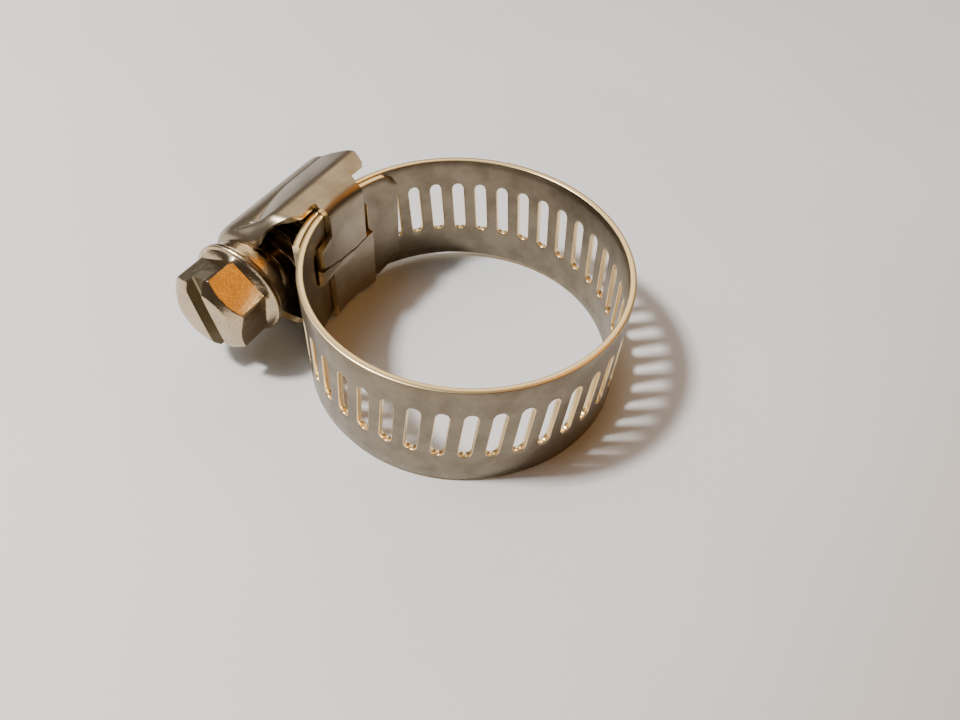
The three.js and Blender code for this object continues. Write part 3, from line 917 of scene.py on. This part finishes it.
face = [(HEAD_END, 0.0), (-14.375, 1.2), (-14.365, 2.2), (-14.34, 3.0), (-14.31, 3.2)]
crown = [(x, HEX_REACH - (CROWN_TO - x) * CROWN_SLOPE) for x in np.linspace(CROWN_FROM, CROWN_TO, 20)]
flats = [(-13.1, HEX_REACH), (-12.0, HEX_REACH), (-11.0, HEX_REACH), (-10.2, HEX_REACH)]
first_rim = [(HEX_FLANGE_X, 4.62), (-9.72, 4.72), (-9.66, 4.86), (-9.60, 4.97), (-9.48, 5.02),
             (-9.38, 4.98), (-9.31, 4.84)]
second_rim = [(-9.27, 4.72), (-9.22, 4.78), (-9.15, 4.90), (-9.05, 4.93), (-8.96, 4.86), (-8.92, 4.62)]
collar = [(-8.90, 4.45), (-8.6, 4.46), (-7.8, 4.45), (-7.62, 4.40), (-7.52, 4.28), (-7.48, 4.1)]
neck = [(-7.46, 3.2), (-7.4, 3.04), (-7.2, 3.0), (-6.5, 3.0)]
thread = [(x, CORE) for x in np.arange(THREAD_FROM, THREAD_TO + 0.001, THREAD_STEP)]
blunt_tip = [(6.1, 3.15), (6.4, 2.95), (6.6, 2.5), (6.6, 0.0)]
profile = np.array(face + crown + flats + first_rim + second_rim + collar + neck + thread + blunt_tip)
print("points along the screw:", len(profile))


# %% The screw as a mesh
def about_screw(name, line, radius_of, segments, material):
    """A closed surface about the screw's axis: rings at every inner point of a line of (x, radius),
    with radii that radius_of may change by angle, and a fan of triangles to a pole at each end."""
    angle = np.arange(segments) * 2 * np.pi / segments + math.radians(HEX_CORNER)
    x, turn = np.meshgrid(line[1:-1, 0], angle, indexing="ij")
    radius = radius_of(x, turn, np.repeat(line[1:-1, 1:], segments, 1))
    rings = np.stack([x, SCREW_Y + radius * np.cos(turn), radius * np.sin(turn)], -1).reshape(-1, 3)
    poles = np.array([(line[0, 0], SCREW_Y, 0), (line[-1, 0], SCREW_Y, 0)])
    first = np.arange(segments)
    last = first + len(rings) - segments
    first_fan = np.stack([np.full(segments, len(rings)), np.roll(first, -1), first], -1)
    last_fan = np.stack([np.full(segments, len(rings) + 1), last, np.roll(last, -1)], -1)
    faces = quads(len(line) - 2, segments, closed=True).tolist() + first_fan.tolist() + last_fan.tolist()
    made = link_mesh(name, np.concatenate([rings, poles]), faces, material=material)
    mend(made.data)
    return made


screw = about_screw("worm_screw_turned", profile, screw_radius, SEGMENTS, screw_plate)
print("screw faces", len(screw.data.polygons))

# %% [markdown]
# The slot is a bar with chamfered lower edges, taken away from the head. It runs slightly to one
# side of the axis. The cut leaves slivers, which are merged away, and the faces that the bar made
# are marked for the finish.

# %% Screwdriver slot
DRIVE_TURN = math.radians(75.0)
DRIVE_HALF_WIDTH, DRIVE_DEPTH, DRIVE_OFFSET = 0.95, 1.35, 0.35
DRIVE_REACH = 6.0       # half the bar's length, past the head on both sides
MARK_MARGIN = 0.002
across_slot = np.array((0.0, -math.sin(DRIVE_TURN), math.cos(DRIVE_TURN)))
along_slot = np.array((0.0, math.cos(DRIVE_TURN), math.sin(DRIVE_TURN)))
head_middle = np.array((HEAD_END, SCREW_Y, 0.0))

right_half = [(DRIVE_HALF_WIDTH - 0.12, DRIVE_DEPTH), (DRIVE_HALF_WIDTH, DRIVE_DEPTH - 0.15),
              (DRIVE_HALF_WIDTH, -3.0)]
section = [(-across, deep) for across, deep in right_half[::-1]] + right_half
bar = [head_middle + along_slot * end + across_slot * (across + DRIVE_OFFSET) + (deep, 0, 0)
       for end in (-DRIVE_REACH, DRIVE_REACH) for across, deep in section]
count = len(section)
bar_faces = [[k, (k + 1) % count, (k + 1) % count + count, k + count] for k in range(count)]
bar_faces += [list(range(count))[::-1], list(range(count, 2 * count))]
cutter = link_mesh("slot_cutter", bar, bar_faces)
mend(cutter.data)

cut = screw.modifiers.new("slot", "BOOLEAN")
cut.operation = "DIFFERENCE"
cut.solver = "EXACT"
cut.object = cutter
finished = bpy.data.meshes.new_from_object(screw.evaluated_get(bpy.context.evaluated_depsgraph_get()))
screw.modifiers.clear()
screw.data = finished
bpy.data.objects.remove(cutter)
print("open edges after the cut:", mend(finished, merge=0.004, sliver=0.002))


def made_by_bar(centre):
    """1 for the centre of a face on the slot's walls or floor, otherwise 0."""
    off = np.dot(np.array(centre) - head_middle * MM, across_slot) - DRIVE_OFFSET * MM
    return float(centre.x < -12.5 * MM and abs(off) < (DRIVE_HALF_WIDTH + MARK_MARGIN) * MM)


marks = finished.attributes.new("slot", "FLOAT", "FACE")
marks.data.foreach_set("value", [made_by_bar(polygon.center) for polygon in finished.polygons])
finished.shade_smooth()
finished.set_sharp_from_angle(angle=math.radians(28))
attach(screw, "screw")
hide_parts("worm_screw")
print("screw after the cut", len(finished.polygons), "faces")
